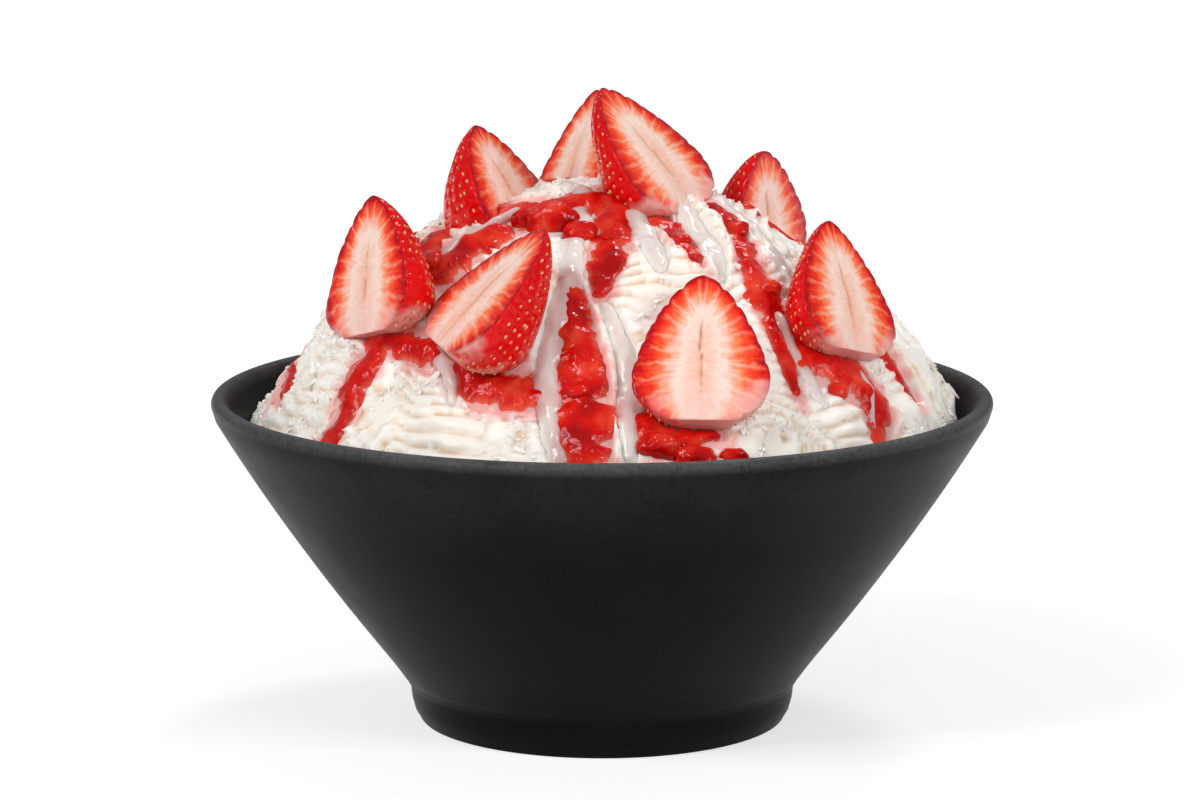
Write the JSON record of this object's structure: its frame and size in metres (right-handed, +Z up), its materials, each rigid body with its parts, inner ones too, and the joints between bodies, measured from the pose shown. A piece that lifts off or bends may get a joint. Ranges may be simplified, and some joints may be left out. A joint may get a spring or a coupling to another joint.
{
  "type": "strawberry shaved ice dessert",
  "caption": "Mound of shaved ice in a black flared bowl, topped with halved strawberries, red fruit sauce and condensed milk.",
  "frame": {"origin": "centre of the bowl's foot, on the surface that it stands on", "axes": "+Z up through the middle of the bowl; -Y is the front"},
  "size_m": [0.1806, 0.1806, 0.1475],
  "materials": {
    "black_stoneware": "satin",
    "shaved_ice": "satin",
    "strawberry": "gloss"
  },
  "bodies": {
    "root": {"bowl": "black_stoneware", "ice_heap": "shaved_ice", "berry_01": "strawberry", "berry_02": "strawberry", "berry_03": "strawberry", "berry_04": "strawberry", "berry_05": "strawberry", "berry_06": "strawberry", "berry_07": "strawberry", "berry_08": "strawberry", "berry_09": "strawberry", "berry_10": "strawberry", "berry_11": "strawberry", "berry_12": "strawberry"}
  },
  "joints": []
}
